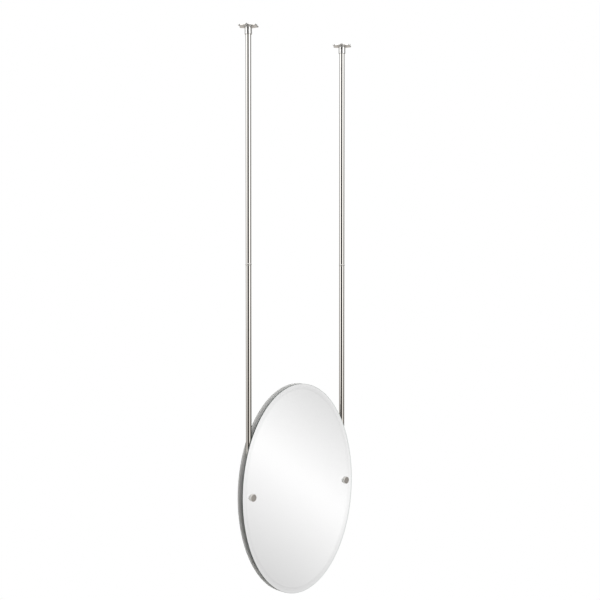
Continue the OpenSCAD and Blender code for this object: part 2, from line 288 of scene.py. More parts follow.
# %% [markdown]
# ## Polished nickel
# The tubes, rings, ceiling covers and the rims of the caps are brass, buffed and plated with
# nickel. Nickel is a metal with a faint warm tint. A perfect mirror looks like a computer's
# metal, so the roughness drifts a little where a cloth has wiped it, in patches some 30 mm
# across, and fine buffing lines, drawn 0.6 mm apart, run round the part. There are three
# grades of it. Tubes and rings are mirror bright. The covers are castings, which keep a soft
# skin under the plating, so their lobes blur the studio. The sides of the caps are satin,
# which scatters the light, and their tone is painted near white, paler than nickel is, as a
# painted highlight.

# %% Polished nickel
def new_finish(name):
    """A new material, its empty node tree and the object's coordinates in it."""
    finish = bpy.data.materials.new(name)
    finish.use_nodes = True
    tree = finish.node_tree
    tree.nodes.clear()
    return finish, tree, add(tree, "ShaderNodeTexCoord").outputs["Object"]


def noise(tree, place, grain, detail):
    """A noise texture with a grain in mm."""
    return add(tree, "ShaderNodeTexNoise", {"Vector": place, "Scale": 1 / (grain * MM),
                                            "Detail": detail})


# The satin grade's tones are near white, paler than nickel is: a painted highlight on the caps'
# sides
# Grade: smoothest and roughest place, lighter and darker tone
NICKEL_GRADES = {"polished": (0.015, 0.04, "#e0deda", "#dddbd6"),
                 "cast": (0.24, 0.3, "#e6e5e3", "#e2e1de"),
                 "satin": (0.3, 0.38, "#fbf9f5", "#f6f4ef")}
WIPED_PATCH, BUFFING_LINE = 30, 0.6

nickel = {}
for grade, (smoothest, roughest, lighter, darker) in NICKEL_GRADES.items():
    nickel[grade], tree, place = new_finish(grade + "_nickel")
    wiped = add(tree, "ShaderNodeTexNoise", {"Vector": place, "Scale": 1 / (WIPED_PATCH * MM),
                                             "Detail": 3.0, "Roughness": 0.6})
    haze = add(tree, "ShaderNodeMapRange", {"Value": wiped, "From Min": 0.35, "From Max": 0.75,
                                            "To Min": smoothest, "To Max": roughest})
    stretch = add(tree, "ShaderNodeMapping", {"Vector": place, "Scale": (0.02, 0.02, 1)})
    buffed = noise(tree, stretch, BUFFING_LINE, 2.0)
    lines = add(tree, "ShaderNodeBump", {"Height": buffed, "Strength": 0.3, "Distance": 0.004 * MM})
    tint = add(tree, "ShaderNodeMixRGB", {"Fac": wiped, 1: linear(lighter), 2: linear(darker)})
    shader = add(tree, "ShaderNodeBsdfPrincipled", {"Base Color": tint, "Metallic": 1.0,
                                                    "Roughness": haze, "Normal": lines})
    add(tree, "ShaderNodeOutputMaterial", {"Surface": shader})
print("nickel finishes:", list(nickel))

# %% [markdown]
# ## Satin-turned nickel
# The caps' flat faces are left as the lathe leaves them: fine rings round the centre under
# the plating, too fine to see one by one at 0.15 mm, so they are drawn at 0.5 mm. They
# scatter the light, so the face is one soft warm grey, a little darker than the side, whose
# tone is painted paler as a highlight.

# %% Satin-turned nickel
CAP_X, DROP = 226.5, 1587.5
RING_SPACING, MOTTLE = 0.5, 4

turned_nickel = {}
for side, sign in SIDES.items():
    turned_nickel[side], tree, place = new_finish(side + "_turned_nickel")
    centred = add(tree, "ShaderNodeMapping", {"Vector": place, "Scale": (1, 0, 1),
                                              "Location": (-sign * CAP_X * MM, 0, DROP * MM)})
    radius = add(tree, "ShaderNodeVectorMath", {0: centred}, operation="LENGTH").outputs["Value"]
    rings = add(tree, "ShaderNodeMath", {0: radius, 1: 2 * pi / (RING_SPACING * MM)},
                operation="MULTIPLY")
    groove = add(tree, "ShaderNodeMath", {0: rings}, operation="SINE")
    marks = add(tree, "ShaderNodeBump", {"Height": groove, "Strength": 0.25, "Distance": 0.01 * MM})
    patch = noise(tree, place, MOTTLE, 2.0)
    satin = add(tree, "ShaderNodeMapRange", {"Value": patch, "To Min": 0.42, "To Max": 0.5})
    tone = add(tree, "ShaderNodeMixRGB", {"Fac": patch, 1: linear("#e1ddd8"), 2: linear("#e7e3de")})
    shader = add(tree, "ShaderNodeBsdfPrincipled", {"Base Color": tone, "Metallic": 1.0,
                                                    "Roughness": satin, "Normal": marks})
    add(tree, "ShaderNodeOutputMaterial", {"Surface": shader})
print("turned nickel for", list(turned_nickel))

# %% [markdown]
# ## Finishes with one grain
# Many finishes need only one texture. Its grain mixes two tones that hardly differ, and where
# the real surface isn't smooth it also raises the skin. One function makes them all, and each
# brings the size of its grain, its tones and its settings.

# %% Grained finishes
def grained(name, grain, tones, settings, detail=3.0, relief=None):
    """A finish with a grain in mm. Its relief is the strength and the depth of the bumps."""
    finish, tree, place = new_finish(name)
    texture = noise(tree, place, grain, detail)
    lighter, darker = (linear(tone) for tone in tones)
    tint = add(tree, "ShaderNodeMixRGB", {"Fac": texture, 1: lighter, 2: darker})
    inputs = {"Base Color": tint, **settings}
    if relief:
        inputs["Normal"] = add(tree, "ShaderNodeBump", {"Height": texture, "Strength": relief[0],
                                                        "Distance": relief[1] * MM})
    shader = add(tree, "ShaderNodeBsdfPrincipled", inputs)
    add(tree, "ShaderNodeOutputMaterial", {"Surface": shader})
    return finish


print("grained finishes ready")

# %% [markdown]
# ## Glass, its edge and the silver
# A mirror is clear float glass with silver behind it, not a shiny front. The light goes
# through the glass twice, which is what gives the bevel a picture of its own. Float glass has
# an index of refraction of 1.52. Its iron gives a green tint that shows where the light has a
# long way through it. The edge is ground and not polished, so from outside it is a dark
# grey-green band. Seen from inside, light gathers in the plate and comes out at its edge, and
# this is painted as a glow of its own, so that finish gives a different answer on each of its
# two sides. The bevel is polished, and its tint is a shade darker than the flat glass: a
# painted shade that dims its reflection.

# %% Float glass and its bevel
GLASS_IOR = 1.52
SMEAR, BEVEL_CLOUD = 60, 15

float_glass, tree, place = new_finish("float_glass")
smear = noise(tree, place, SMEAR, 3.0)
wipe = add(tree, "ShaderNodeMapRange", {"Value": smear, "From Min": 0.5, "From Max": 0.8,
                                        "To Min": 0.0, "To Max": 0.015})
clear = add(tree, "ShaderNodeMixRGB", {"Fac": smear, 1: linear("#fefefe"), 2: linear("#fdfdfd")})
shader = add(tree, "ShaderNodeBsdfPrincipled", {"Base Color": clear, "Roughness": wipe,
                                                "IOR": GLASS_IOR, "Transmission Weight": 1.0})
add(tree, "ShaderNodeOutputMaterial", {"Surface": shader})

# The bevel's tones are a shade darker than the flat glass: a painted shade that dims its reflection
bevel_painted_shade = grained("bevel_glass_painted_shade", BEVEL_CLOUD, ("#f8f8f8", "#f5f5f5"),
                       {"Roughness": 0.005, "IOR": GLASS_IOR, "Transmission Weight": 1.0})
print("glass index", GLASS_IOR)

# %% Ground edge
EDGE_GRIT = 0.8

ground_edge_and_painted_glow, tree, place = new_finish("ground_glass_edge_painted_glow")
grit = noise(tree, place, EDGE_GRIT, 3.0)
tooth = add(tree, "ShaderNodeBump", {"Height": grit, "Strength": 0.15, "Distance": 0.05 * MM})
green = add(tree, "ShaderNodeMixRGB", {"Fac": grit, 1: linear("#434946"), 2: linear("#505653")})
outside = add(tree, "ShaderNodeBsdfPrincipled", {"Base Color": green, "Roughness": 0.3,
                                                 "IOR": GLASS_IOR, "Normal": tooth})
# Seen from inside the plate, the edge is a painted glow: an emission that stands in for the light
# gathering in the glass
painted_edge_glow = add(tree, "ShaderNodeEmission", {"Color": linear("#e6eae8"), "Strength": 1.0})
within = add(tree, "ShaderNodeNewGeometry").outputs["Backfacing"]
shader = add(tree, "ShaderNodeMixShader", {0: within, 1: outside, 2: painted_edge_glow})
add(tree, "ShaderNodeOutputMaterial", {"Surface": shader})
print("edge grit", EDGE_GRIT, "mm")

# %% Silver and its backing paint
# The silver's tone drifts over some 120 mm, and the roller left a 3 mm stipple in the paint
silver = grained("mirror_silver", 120, ("#fafafa", "#fbfbfb"),
                 {"Metallic": 1.0, "Roughness": 0.0}, detail=2.0)
backing_paint = grained("mirror_backing_paint", 3, ("#2f3131", "#393b3b"), {"Roughness": 0.5},
                        relief=(0.2, 0.05))
print("silver with grey backing paint")

# %% [markdown]
# ## The other finishes
# The back panel is sheet steel with a pale grey baked enamel, whose surface has a faint orange
# peel about 2 mm across. The enamel draws back from the cut edge, where bare grey steel shows
# as a dark line round the panel. The fixings behind it are bright zinc plate: bluish, mottled
# in patches of 2 mm. The inserts and plugs in the tubes are turned brass, the washers and
# saddles white nylon, the pads black rubber and the set screws blackened steel.

# %% Panel enamel
ORANGE_PEEL, ENAMEL_PATCH = 2, 80

panel_enamel, tree, place = new_finish("panel_enamel")
peel = noise(tree, place, ORANGE_PEEL, 2.0)
waves = add(tree, "ShaderNodeBump", {"Height": peel, "Strength": 0.15, "Distance": 0.05 * MM})
batch = noise(tree, place, ENAMEL_PATCH, 4.0)
grey = add(tree, "ShaderNodeMixRGB", {"Fac": batch, 1: linear("#dcdcda"), 2: linear("#e2e2e0")})
gloss = add(tree, "ShaderNodeMapRange", {"Value": batch, "To Min": 0.36, "To Max": 0.5})
shader = add(tree, "ShaderNodeBsdfPrincipled", {"Base Color": grey, "Roughness": gloss,
                                                "Normal": waves})
add(tree, "ShaderNodeOutputMaterial", {"Surface": shader})

cut_edge = grained("cut_steel_edge", 0.7, ("#6b6c6c", "#7a7b7a"),
                   {"Metallic": 0.6, "Roughness": 0.5})
print("enamel peel", ORANGE_PEEL, "mm, cut edge of the sheet")

# %% Zinc plate
SPANGLE, ZINC_CLOUD = 2, 6

zinc_plate, tree, place = new_finish("bright_zinc_plate")
spangle = add(tree, "ShaderNodeTexVoronoi", {"Vector": place, "Scale": 1 / (SPANGLE * MM)})
cloud = noise(tree, place, ZINC_CLOUD, 4.0)
blue = add(tree, "ShaderNodeMixRGB", {"Fac": cloud, 1: linear("#a9adb2"), 2: linear("#c3c5c6")})
dull = add(tree, "ShaderNodeMapRange", {"Value": spangle.outputs["Distance"], "To Min": 0.24,
                                        "To Max": 0.4})
shader = add(tree, "ShaderNodeBsdfPrincipled", {"Base Color": blue, "Metallic": 1.0,
                                                "Roughness": dull})
add(tree, "ShaderNodeOutputMaterial", {"Surface": shader})
print("zinc spangle", SPANGLE, "mm")

# %% Turned brass
# Real tool marks are finer than 0.5 mm. The waves of a wave texture are 0.314 apart at a scale
# of 1, so this scale draws them 3.1 mm apart, where they show.
MARK_SCALE, TARNISH = 0.1, 7

turned_brass, tree, place = new_finish("turned_brass")
tool = add(tree, "ShaderNodeTexWave", {"Vector": place, "Scale": MARK_SCALE / MM,
                                       "Distortion": 0.3}, bands_direction="Z").outputs["Fac"]
marks = add(tree, "ShaderNodeBump", {"Height": tool, "Strength": 0.2, "Distance": 0.02 * MM})
tarnish = noise(tree, place, TARNISH, 4.0)
gold = add(tree, "ShaderNodeMixRGB", {"Fac": tarnish, 1: linear("#c9a35a"), 2: linear("#b08a48")})
shader = add(tree, "ShaderNodeBsdfPrincipled", {"Base Color": gold, "Metallic": 1.0,
                                                "Roughness": 0.26, "Normal": marks})
add(tree, "ShaderNodeOutputMaterial", {"Surface": shader})
print("brass tool marks drawn", round(0.314 / MARK_SCALE, 1), "mm apart")

# %% Nylon, blackened steel and rubber
PORE = 0.7

white_nylon = grained("white_nylon", 1.2, ("#ebe9e2", "#f3f1eb"),
                      {"Roughness": 0.38, "IOR": 1.53, "Subsurface Weight": 0.1,
                       "Subsurface Scale": 1 * MM}, relief=(0.1, 0.03))
black_steel = grained("blackened_steel", 1, ("#2b2b2d", "#3d3c3c"),
                      {"Metallic": 0.7, "Roughness": 0.42})

pad_rubber, tree, place = new_finish("black_pad_rubber")
pores = add(tree, "ShaderNodeTexVoronoi", {"Vector": place,
                                           "Scale": 1 / (PORE * MM)}).outputs["Distance"]
pits = add(tree, "ShaderNodeBump", {"Height": pores, "Strength": 0.3, "Distance": 0.08 * MM})
bloom = add(tree, "ShaderNodeMixRGB", {"Fac": pores, 1: linear("#232323"), 2: linear("#343332")})
shader = add(tree, "ShaderNodeBsdfPrincipled", {"Base Color": bloom, "Roughness": 0.72,
                                                "IOR": 1.52, "Normal": pits})
add(tree, "ShaderNodeOutputMaterial", {"Surface": shader})
print("nylon, blackened steel and rubber made")

# %% [markdown]
# ## How a piece is made
# Nearly everything here is round, so the main tool is a lathe: a half section is drawn with a
# few points and spun once round its axis. No real edge is perfectly sharp, and a fine bevel
# is what catches the light, so every corner is broken. Smooth shading is weighted by face
# area, so that the long flat faces stay flat and only the bevels turn the light.

# %% The lathe
FRONT_UP = Matrix.Rotation(pi / 2, 4, "X")


def turned(section, steps=128):
    """Spin a half section of (radius, height) points once round the Z axis."""
    bm = bmesh.new()
    points = [bm.verts.new((r * MM, 0, z * MM)) for r, z in section]
    ends_on_axis = section[0][0] == 0 and section[-1][0] == 0
    pairs = list(zip(points, points[1:])) + ([] if ends_on_axis else [(points[-1], points[0])])
    edges = [bm.edges.new(pair) for pair in pairs]
    bmesh.ops.spin(bm, geom=points + edges, cent=(0, 0, 0), axis=(0, 0, 1), angle=2 * pi,
                   steps=steps, use_merge=True)
    bmesh.ops.remove_doubles(bm, verts=bm.verts, dist=1e-6)
    bmesh.ops.recalc_face_normals(bm, faces=bm.faces)
    return bm


def break_corners(bm, width, segments=3, sharper_than=25):
    """Bevel every edge that is sharper than an angle in degrees."""
    sharp = [e for e in bm.edges if e.is_manifold and e.calc_face_angle() > radians(sharper_than)]
    bmesh.ops.bevel(bm, geom=sharp, offset=width * MM, affect="EDGES", segments=segments,
                    profile=0.5, material=-1)


def drill(radius, length, steps, place):
    """A round bar to cut a hole with. It is made along Z and moved by a matrix."""
    bar = bmesh.new()
    bmesh.ops.create_cone(bar, cap_ends=True, segments=steps, radius1=radius * MM,
                          radius2=radius * MM, depth=length * MM)
    bar.transform(place)
    return bar


print("lathe and drill ready")


# %% Finishing a piece
def settle(obj):
    """Apply an object's modifiers and throw away what they used."""
    depsgraph = bpy.context.evaluated_depsgraph_get()
    done = bpy.data.meshes.new_from_object(obj.evaluated_get(depsgraph))
    obj.modifiers.clear()
    obj.data = done


def piece(name, bm, finishes, at=(0, 0, 0), upright=False, crease=30):
    """Make an object from a bmesh, placed in its mesh, with smooth shading between creases."""
    bm.transform(Matrix.Translation(Vector(at) * MM) @ (FRONT_UP if upright else Matrix()))
    mesh = bpy.data.meshes.new(name)
    bm.to_mesh(mesh)
    bm.free()
    for finish in finishes:
        mesh.materials.append(finish)
    mesh.shade_smooth()
    mesh.set_sharp_from_angle(angle=radians(crease))
    obj = bpy.data.objects.new(name, mesh)
    scene.collection.objects.link(obj)
    weighted = obj.modifiers.new("weigh by area", "WEIGHTED_NORMAL")
    weighted.keep_sharp = True
    settle(obj)
    print(name, "has", len(obj.data.polygons), "faces")
    return obj


def carve(bm, operation, *tools):
    """Join or cut solids with exact booleans, and return the result as a bmesh."""
    made = []
    for solid in (bm,) + tools:
        mesh = bpy.data.meshes.new("blank")
        solid.to_mesh(mesh)
        solid.free()
        made.append(bpy.data.objects.new("blank", mesh))
        scene.collection.objects.link(made[-1])
    for tool in made[1:]:
        cut = made[0].modifiers.new("cut", "BOOLEAN")
        cut.operation, cut.object, cut.solver = operation, tool, "EXACT"
    depsgraph = bpy.context.evaluated_depsgraph_get()
    result = bmesh.new()
    result.from_object(made[0], depsgraph)
    for obj in made:
        mesh = obj.data
        bpy.data.objects.remove(obj)
        bpy.data.meshes.remove(mesh)
    return result


# %% [markdown]
# ## The bevelled glass
# The plate starts as a circle, scaled into the oval of 533 by 737 mm. Its front face is inset
# by the 20 mm of the bevel and raised from 4.4 mm at the rim to the full 4.8 mm. An inset
# keeps the bevel the same width all round, which scaling the oval would not. The photograph
# hardly shows the bevel, so it is this shallow. The arris between bevel and edge is ground
# off at 45 degrees, 0.65 mm wide, so that nobody is cut on it. The silver is a leaf of its
# own, lying just inside the back of the glass so that no air gap doubles it.

# %% An oval plate and its holes
MIRROR_W, MIRROR_H = 533, 737
DRILL_LEN = 60


def thicken(bm, height):
    """Extrude a flat face up to a height, or down to one below it."""
    grown = bmesh.ops.extrude_face_region(bm, geom=bm.faces[:])
    moved = [v for v in grown["geom"] if isinstance(v, bmesh.types.BMVert)]
    bmesh.ops.translate(bm, verts=moved, vec=(0, 0, height * MM))
    bmesh.ops.recalc_face_normals(bm, faces=bm.faces)


def oval_plate(thickness, inset=0.0, steps=384):
    """An oval plate with its back at height 0, drawn in from the mirror's outline by an inset."""
    bm = bmesh.new()
    bmesh.ops.create_circle(bm, cap_ends=True, segments=steps, radius=1)
    bmesh.ops.scale(bm, verts=bm.verts, vec=(MIRROR_W / 2 * MM, MIRROR_H / 2 * MM, 1))
    if inset:
        bmesh.ops.inset_region(bm, faces=bm.faces[:], thickness=inset * MM, use_even_offset=True)
        outer = [f for f in bm.faces if len(f.verts) == 4]
        bmesh.ops.delete(bm, geom=outer, context="FACES")
    thicken(bm, thickness)
    return bm


def pierce(bm, radius):
    """Drill a hole for each cap through a plate."""
    places = [Matrix.Translation((sign * CAP_X * MM, 0, 0)) for sign in SIDES.values()]
    return carve(bm, "DIFFERENCE", *[drill(radius, DRILL_LEN, 64, place) for place in places])


print("mirror", MIRROR_W, "by", MIRROR_H, "mm")

# %% Glass plate
GLASS_T, BEVEL_W, EDGE_T, ARRIS = 4.8, 20, 4.4, 0.65
TUBE_R, SADDLE_T = 9.525, 0.5
GLASS_BACK_Y = -TUBE_R - SADDLE_T
SILVER_T, SILVER_OVERLAP, SILVER_INSET = 0.06, 0.02, 0.7
GLASS_HOLE_R, HOLE_ZONE = 5, 8
EDGE_TILT, BEVEL_TILT, FLAT_TILT = 0.95, 0.5, 0.99998

bm = oval_plate(EDGE_T - SILVER_T + SILVER_OVERLAP)
front = max((f for f in bm.faces if len(f.verts) > 4), key=lambda f: f.calc_center_median().z)
bmesh.ops.inset_region(bm, faces=[front], thickness=BEVEL_W * MM, use_even_offset=True)
bmesh.ops.translate(bm, verts=front.verts[:], vec=(0, 0, (GLASS_T - EDGE_T) * MM))
rim = [e for e in bm.edges if e.calc_face_angle() > radians(60) and e.verts[0].co.z > 1 * MM]
bmesh.ops.bevel(bm, geom=rim, offset=ARRIS * MM, affect="EDGES", segments=1, profile=0.5,
                material=-1)
bm = pierce(bm, GLASS_HOLE_R)
break_corners(bm, width=0.3, segments=2)

# The ground edge is whatever leans well away from the front, apart from the caps' holes
for face in bm.faces:
    middle, tilt = face.calc_center_median(), face.normal.z
    in_hole = any(abs(middle.x - sign * CAP_X * MM) < HOLE_ZONE * MM
                  and abs(middle.y) < HOLE_ZONE * MM for sign in SIDES.values())
    on_edge, on_bevel = abs(tilt) < EDGE_TILT and not in_hole, BEVEL_TILT < tilt < FLAT_TILT
    face.material_index = 1 if on_edge else 2 if on_bevel else 0
mirror_plate = piece("mirror_plate", bm, [float_glass, ground_edge_and_painted_glow, bevel_painted_shade], crease=4,
                     at=(0, GLASS_BACK_Y - SILVER_T + SILVER_OVERLAP, -DROP), upright=True)

# %% Silver leaf
SILVER_CLEARANCE = 0.3

bm = pierce(oval_plate(SILVER_T, inset=SILVER_INSET), GLASS_HOLE_R + SILVER_CLEARANCE)
for face in bm.faces:
    face.material_index = 1 if face.normal.z < -0.5 else 0
mirror_silvering = piece("mirror_silvering", bm, [silver, backing_paint],
                         at=(0, GLASS_BACK_Y, -DROP), upright=True)

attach(mirror_plate, "hanger")
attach(mirror_silvering, "hanger")
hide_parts("mirror_glass")

# %% [markdown]
# ## The back panel
# A sheet of 1.2 mm steel in the same oval. The blanking press rounds its edge a little on
# both sides, so its corners are broken by 0.2 mm. Its rim gets the finish of the cut edge.

# %% Back panel
PANEL_T, PANEL_HOLE_R, RIM_ZONE = 1.2, 3.3, 240
PANEL_BACK_Y = TUBE_R + SADDLE_T + PANEL_T

bm = pierce(oval_plate(PANEL_T), PANEL_HOLE_R)
for face in bm.faces:
    on_rim = face.calc_center_median().length > RIM_ZONE * MM
    face.material_index = 1 if abs(face.normal.z) < 0.5 and on_rim else 0
break_corners(bm, width=0.2, segments=3)
back_sheet = piece("back_sheet", bm, [panel_enamel, cut_edge], at=(0, PANEL_BACK_Y, -DROP),
                   upright=True)
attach(back_sheet, "hanger")
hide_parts("back_panel")

# %% [markdown]
# ## Tubes and rings
# Each tube is spun with 128 steps, because a polished tube shows every flat in its
# reflections. Its ends are deburred. The lower tube is also drilled across for the stud of
# the cap, close to its foot, and rings of edges on both sides of the drilling keep the long
# faces above it whole. The ring between two tubes is a bead between two hairline grooves.

# %% Tubes
BORE_R, BRACKET_T, RING_H, TUBE_END = 8.275, 3, 8, 11
TUBE_LEN = (DROP + TUBE_END - BRACKET_T - RING_H) / 2
RING_Z = -BRACKET_T - TUBE_LEN
CROSS_HOLE_R, CROSS_HOLE_LEN = 3.3, 40
EDGE_RINGS = (-7.5, 7.5, 40)


def tube(low_z, high_z):
    """A tube between two heights, with its ends deburred."""
    bm = turned([(BORE_R, low_z), (TUBE_R, low_z), (TUBE_R, high_z), (BORE_R, high_z)])
    break_corners(bm, width=0.25, segments=2)
    return bm


for side, sign in SIDES.items():
    upper = piece(side + "_upper_tube_polished", tube(RING_Z, -BRACKET_T), [nickel["polished"]],
                  at=(sign * CAP_X, 0, 0))
    bm = tube(-DROP - TUBE_END, RING_Z - RING_H)
    for from_hole in EDGE_RINGS:
        bmesh.ops.bisect_plane(bm, geom=bm.verts[:] + bm.edges[:] + bm.faces[:],
                               plane_co=(0, 0, (-DROP + from_hole) * MM), plane_no=(0, 0, 1))
    at_cap = Matrix.Translation((0, 0, -DROP * MM)) @ FRONT_UP
    across = drill(CROSS_HOLE_R, CROSS_HOLE_LEN, 48, at_cap)
    lower_tube = piece(side + "_lower_tube_polished", carve(bm, "DIFFERENCE", across),
                       [nickel["polished"]], at=(sign * CAP_X, 0, 0))
    for obj, node in ((upper, side + "_upper_tube"), (lower_tube, side + "_lower_tube")):
        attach(obj, "hanger")
        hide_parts(node)

# %% Joint rings
RING_R, RING_LAND_R, RING_LAND_H, JOINT_BORE_R = 10.3, 9.125, 0.6, 5.05


def arc_points(centre, radius, start, end, steps):
    """Points of an arc in a half section, between two angles in degrees."""
    angles = [radians(start + (end - start) * i / steps) for i in range(steps + 1)]
    return [(centre[0] + radius * cos(a), centre[1] + radius * sin(a)) for a in angles]


bead_half = RING_H / 2 - RING_LAND_H
rise_of_bead = RING_R - RING_LAND_R
bead_r = (bead_half ** 2 + rise_of_bead ** 2) / (2 * rise_of_bead)
bead_turn = degrees(asin(bead_half / bead_r))
bead = arc_points((RING_R - bead_r, RING_Z - RING_H / 2), bead_r, -bead_turn, bead_turn, 16)
ring_section = [(JOINT_BORE_R, RING_Z - RING_H), (RING_LAND_R, RING_Z - RING_H)] + bead
ring_section += [(RING_LAND_R, RING_Z), (JOINT_BORE_R, RING_Z)]
for side, sign in SIDES.items():
    ring = piece(side + "_joint_ring_polished", turned(ring_section), [nickel["polished"]],
                 at=(sign * CAP_X, 0, 0))
    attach(ring, "hanger")
    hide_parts(side + "_joint_ring")
print("ring bead radius", round(bead_r, 2), "mm")

# %% [markdown]
# ## The ceiling covers
# Each cover is a casting: a thin plate with six small round lobes and slightly hollow sides
# between them, its lower rim rounded, and a low boss in the middle. A small hollow moulding
# leads from the boss into the neck, which slides on the tube. One twelfth of the outline is
# drawn, a lobe's arc and half a hollow side, by spinning a single point. Mirroring and
# spinning copies completes it. Boss, moulding and neck are turned on the lathe.

# %% One twelfth of the outline
LOBE_R, ROSETTE_R, ROSETTE_T, ROSETTE_TURN = 5.5, 36, 4.4, 39.5
SIDE_DROP, SIDE_SAG, SCALLOP_R = 0.6, 0.4, 40
lobe_reach = ROSETTE_R - LOBE_R
side_r = lobe_reach - SIDE_DROP
lobe_half_turn = pi / 6 + acos((side_r - lobe_reach * cos(pi / 6)) / LOBE_R)
scallop_centre = side_r - SIDE_SAG + SCALLOP_R
scallop_half = asin(sqrt(SCALLOP_R ** 2 - (SCALLOP_R - SIDE_SAG) ** 2) / SCALLOP_R)


def lobed_plate():
    """The outline of a cover as one flat face, its first lobe along X."""
    bm = bmesh.new()
    tip = bm.verts.new(((lobe_reach + LOBE_R) * MM, 0, 0))
    bmesh.ops.spin(bm, geom=[tip], cent=(lobe_reach * MM, 0, 0), axis=(0, 0, 1),
                   angle=lobe_half_turn, steps=14)
    twelfth = Matrix.Rotation(pi / 6, 3, "Z")
    waist = bm.verts.new(twelfth @ Vector(((scallop_centre - SCALLOP_R) * MM, 0, 0)))
    centre = twelfth @ Vector((scallop_centre * MM, 0, 0))
    hollow = bmesh.ops.spin(bm, geom=[waist], cent=centre, axis=(0, 0, 1), angle=scallop_half,
                            steps=6)
    hollow_end = [v for v in hollow["geom_last"] if isinstance(v, bmesh.types.BMVert)][0]
    ends = [v for v in bm.verts if len(v.link_edges) == 1 and v not in (tip, waist, hollow_end)]
    bm.edges.new((ends[0], hollow_end))
    bmesh.ops.mirror(bm, geom=bm.verts[:] + bm.edges[:], axis="Y", merge_dist=1e-7)
    bmesh.ops.spin(bm, geom=bm.verts[:] + bm.edges[:], cent=(0, 0, 0), axis=(0, 0, 1),
                   angle=2 * pi, steps=6, use_duplicate=True)
    bmesh.ops.remove_doubles(bm, verts=bm.verts, dist=1e-5)
    bmesh.ops.contextual_create(bm, geom=bm.edges[:])
    return bm


bm = lobed_plate()
print("outline has", len(bm.verts), "points and", len(bm.faces), "face")
bm.free()

# %% Covers
NECK_R, NECK_H, NECK_EDGE_R, COVE_R, BOSS_R, BOSS_T, BOSS_EDGE_R = 12.2, 30.5, 0.8, 3, 18, 0.8, 0.4
RIM_R, RIM_STEPS, CORE_R, OVERLAP, BEYOND = 1.8, 6, 8, 0.4, 5
CAVITY_R, CAVITY_DEPTH, SLIDE_BORE_R = 25.5, 3.4, 9.625
SET_SCREW_R, SET_SCREW_Z, SET_SCREW_Y, SET_HOLE_LEN = 2.02, -22.5, 12, 10
BOSS_Z = -ROSETTE_T - BOSS_T


def rounded_plate():
    """The lobed plate at its full thickness, its lower rim rounded inset by inset."""
    bm = lobed_plate()
    bmesh.ops.transform(bm, matrix=Matrix.Rotation(radians(ROSETTE_TURN), 4, "Z"), verts=bm.verts)
    thicken(bm, -(ROSETTE_T - RIM_R))
    under = min((f for f in bm.faces if len(f.verts) > 4), key=lambda f: f.calc_center_median().z)
    for i in range(RIM_STEPS):
        start, end = (radians(90 * k / RIM_STEPS) for k in (i, i + 1))
        bmesh.ops.inset_region(bm, faces=[under], thickness=RIM_R * (cos(start) - cos(end)) * MM,
                               use_even_offset=True)
        bmesh.ops.translate(bm, verts=under.verts[:],
                            vec=(0, 0, -RIM_R * (sin(end) - sin(start)) * MM))
    return bm


def cover():
    """A ceiling cover round the Z axis, hanging down from height 0."""
    section = [(CORE_R, -NECK_H)]
    section += arc_points((NECK_R - NECK_EDGE_R, -NECK_H + NECK_EDGE_R), NECK_EDGE_R, -90, 0, 6)
    section += arc_points((NECK_R + COVE_R, BOSS_Z - COVE_R), COVE_R, 180, 90, 12)
    section += arc_points((BOSS_R - BOSS_EDGE_R, BOSS_Z + BOSS_EDGE_R), BOSS_EDGE_R, -90, 0, 4)
    section += [(BOSS_R, -ROSETTE_T + OVERLAP), (CORE_R, -ROSETTE_T + OVERLAP)]
    joined = carve(rounded_plate(), "UNION", turned(section))
    dish = turned([(0, -CAVITY_DEPTH), (CAVITY_R, -CAVITY_DEPTH), (CAVITY_R, BEYOND), (0, BEYOND)])
    bore = turned([(0, -NECK_H - BEYOND), (SLIDE_BORE_R, -NECK_H - BEYOND),
                   (SLIDE_BORE_R, BEYOND), (0, BEYOND)])
    in_neck = Matrix.Translation((0, SET_SCREW_Y * MM, SET_SCREW_Z * MM)) @ FRONT_UP
    tapped = drill(SET_SCREW_R, SET_HOLE_LEN, 32, in_neck)
    return carve(joined, "DIFFERENCE", dish, bore, tapped)


for side, sign in SIDES.items():
    rosette = piece(side + "_ceiling_cover", cover(), [nickel["cast"]], at=(sign * CAP_X, 0, 0))
    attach(rosette, side + "_cover")
    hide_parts(side + "_escutcheon")

# %% [markdown]
# ## Caps and their studs
# A cap is turned from bar: a plain cylinder with a small rounded edge. Its side is satin and
# its face is left from the lathe. The stud in it has a real thread with a pitch of 1 mm,
# because it shows when the cap is unscrewed. One tooth of the thread is spun with a rise of
# one pitch a turn, and the ends are cut square. The photograph shows no second cap in the
# mirror, only clear wall beside it, so caps, studs and washers stay out of what is seen
# through the glass.

# %% Caps
CAP_R, CAP_H, CAP_EDGE_R, CAP_SOCKET, CAP_BREAK = 12.7, 10, 1, 7, 0.3
STUD_R, STUD_CLEARANCE, WASHER_T = 3, 0.02, 0.8
CAP_BASE_Y = GLASS_BACK_Y - GLASS_T - WASHER_T

socket_r = STUD_R + STUD_CLEARANCE
cap_section = [(0, CAP_SOCKET), (socket_r, CAP_SOCKET), (socket_r, 0), (CAP_R - CAP_BREAK, 0),
               (CAP_R, CAP_BREAK)]
cap_section += arc_points((CAP_R - CAP_EDGE_R, CAP_H - CAP_EDGE_R), CAP_EDGE_R, 0, 90, 8)
cap_section += [(CAP_R - CAP_EDGE_R - CAP_BREAK, CAP_H), (0, CAP_H)]
for side, sign in SIDES.items():
    bm = turned(cap_section)
    for face in bm.faces:
        face.material_index = 1 if face.calc_center_median().z > (CAP_H - 0.01) * MM else 0
    cap = piece(side + "_cap_turned", bm, [nickel["satin"], turned_nickel[side]],
                at=(sign * CAP_X, CAP_BASE_Y, -DROP), upright=True)
    cap.visible_transmission = False
    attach(cap, side + "_knob")
    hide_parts(side + "_cap")

# %% Threaded studs
PITCH, THREAD_DEPTH, STUD_TIP_Y = 1.0, 0.55, -1
FLANK_FROM, CREST_FROM, CREST_TO = 0.1 * PITCH, 0.45 * PITCH, 0.6 * PITCH


